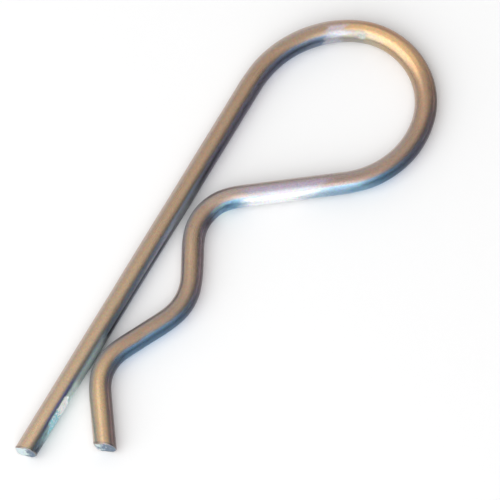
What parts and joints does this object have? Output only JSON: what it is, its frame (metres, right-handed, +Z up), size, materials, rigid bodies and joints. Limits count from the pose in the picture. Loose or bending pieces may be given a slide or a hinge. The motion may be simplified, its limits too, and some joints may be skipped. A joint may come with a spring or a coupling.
{
  "type": "hitch r clip pin",
  "caption": "Spring-wire R clip: its straight leg goes through a shaft's cross hole and its shaped leg snaps round the shaft's outside to lock it.",
  "frame": {"origin": "on the surface that the clip lies on, under the centre of its bounding box", "axes": "+X along the straight leg, from the loop to the cut ends; +Y from the straight leg towards the shaped leg; +Z up from the surface that it lies on"},
  "size_m": [0.1012, 0.0342, 0.004],
  "materials": {
    "wire": "yellow-passivated zinc plating on drawn spring wire, satin with tinted highlights"
  },
  "bodies": {
    "root": {"clip": "wire"}
  },
  "joints": []
}
